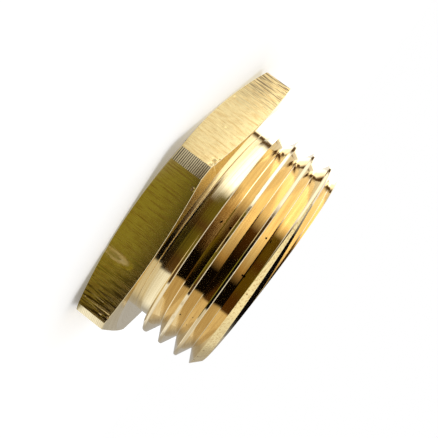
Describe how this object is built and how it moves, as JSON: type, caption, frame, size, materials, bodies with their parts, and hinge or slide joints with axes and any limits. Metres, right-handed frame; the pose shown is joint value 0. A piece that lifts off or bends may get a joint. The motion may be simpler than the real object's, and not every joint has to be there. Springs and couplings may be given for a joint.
{
  "type": "threaded plug",
  "caption": "Hexagon-head brass plug with a flat sealing seat, a relief neck and a short right-hand M27 x 2 thread, screwed into a fitting to close its open end.",
  "frame": {"origin": "middle of the head's outer face, on the axis", "axes": "+Z along the axis from the head to the thread's end, +X square to one of the hexagon's flats, +Y through one of its corners; the plug stands on its head"},
  "size_m": [0.03, 0.0338, 0.0129],
  "materials": {
    "brass": "bright drawn and turned"
  },
  "bodies": {
    "root": {"plug": "brass"}
  },
  "joints": []
}
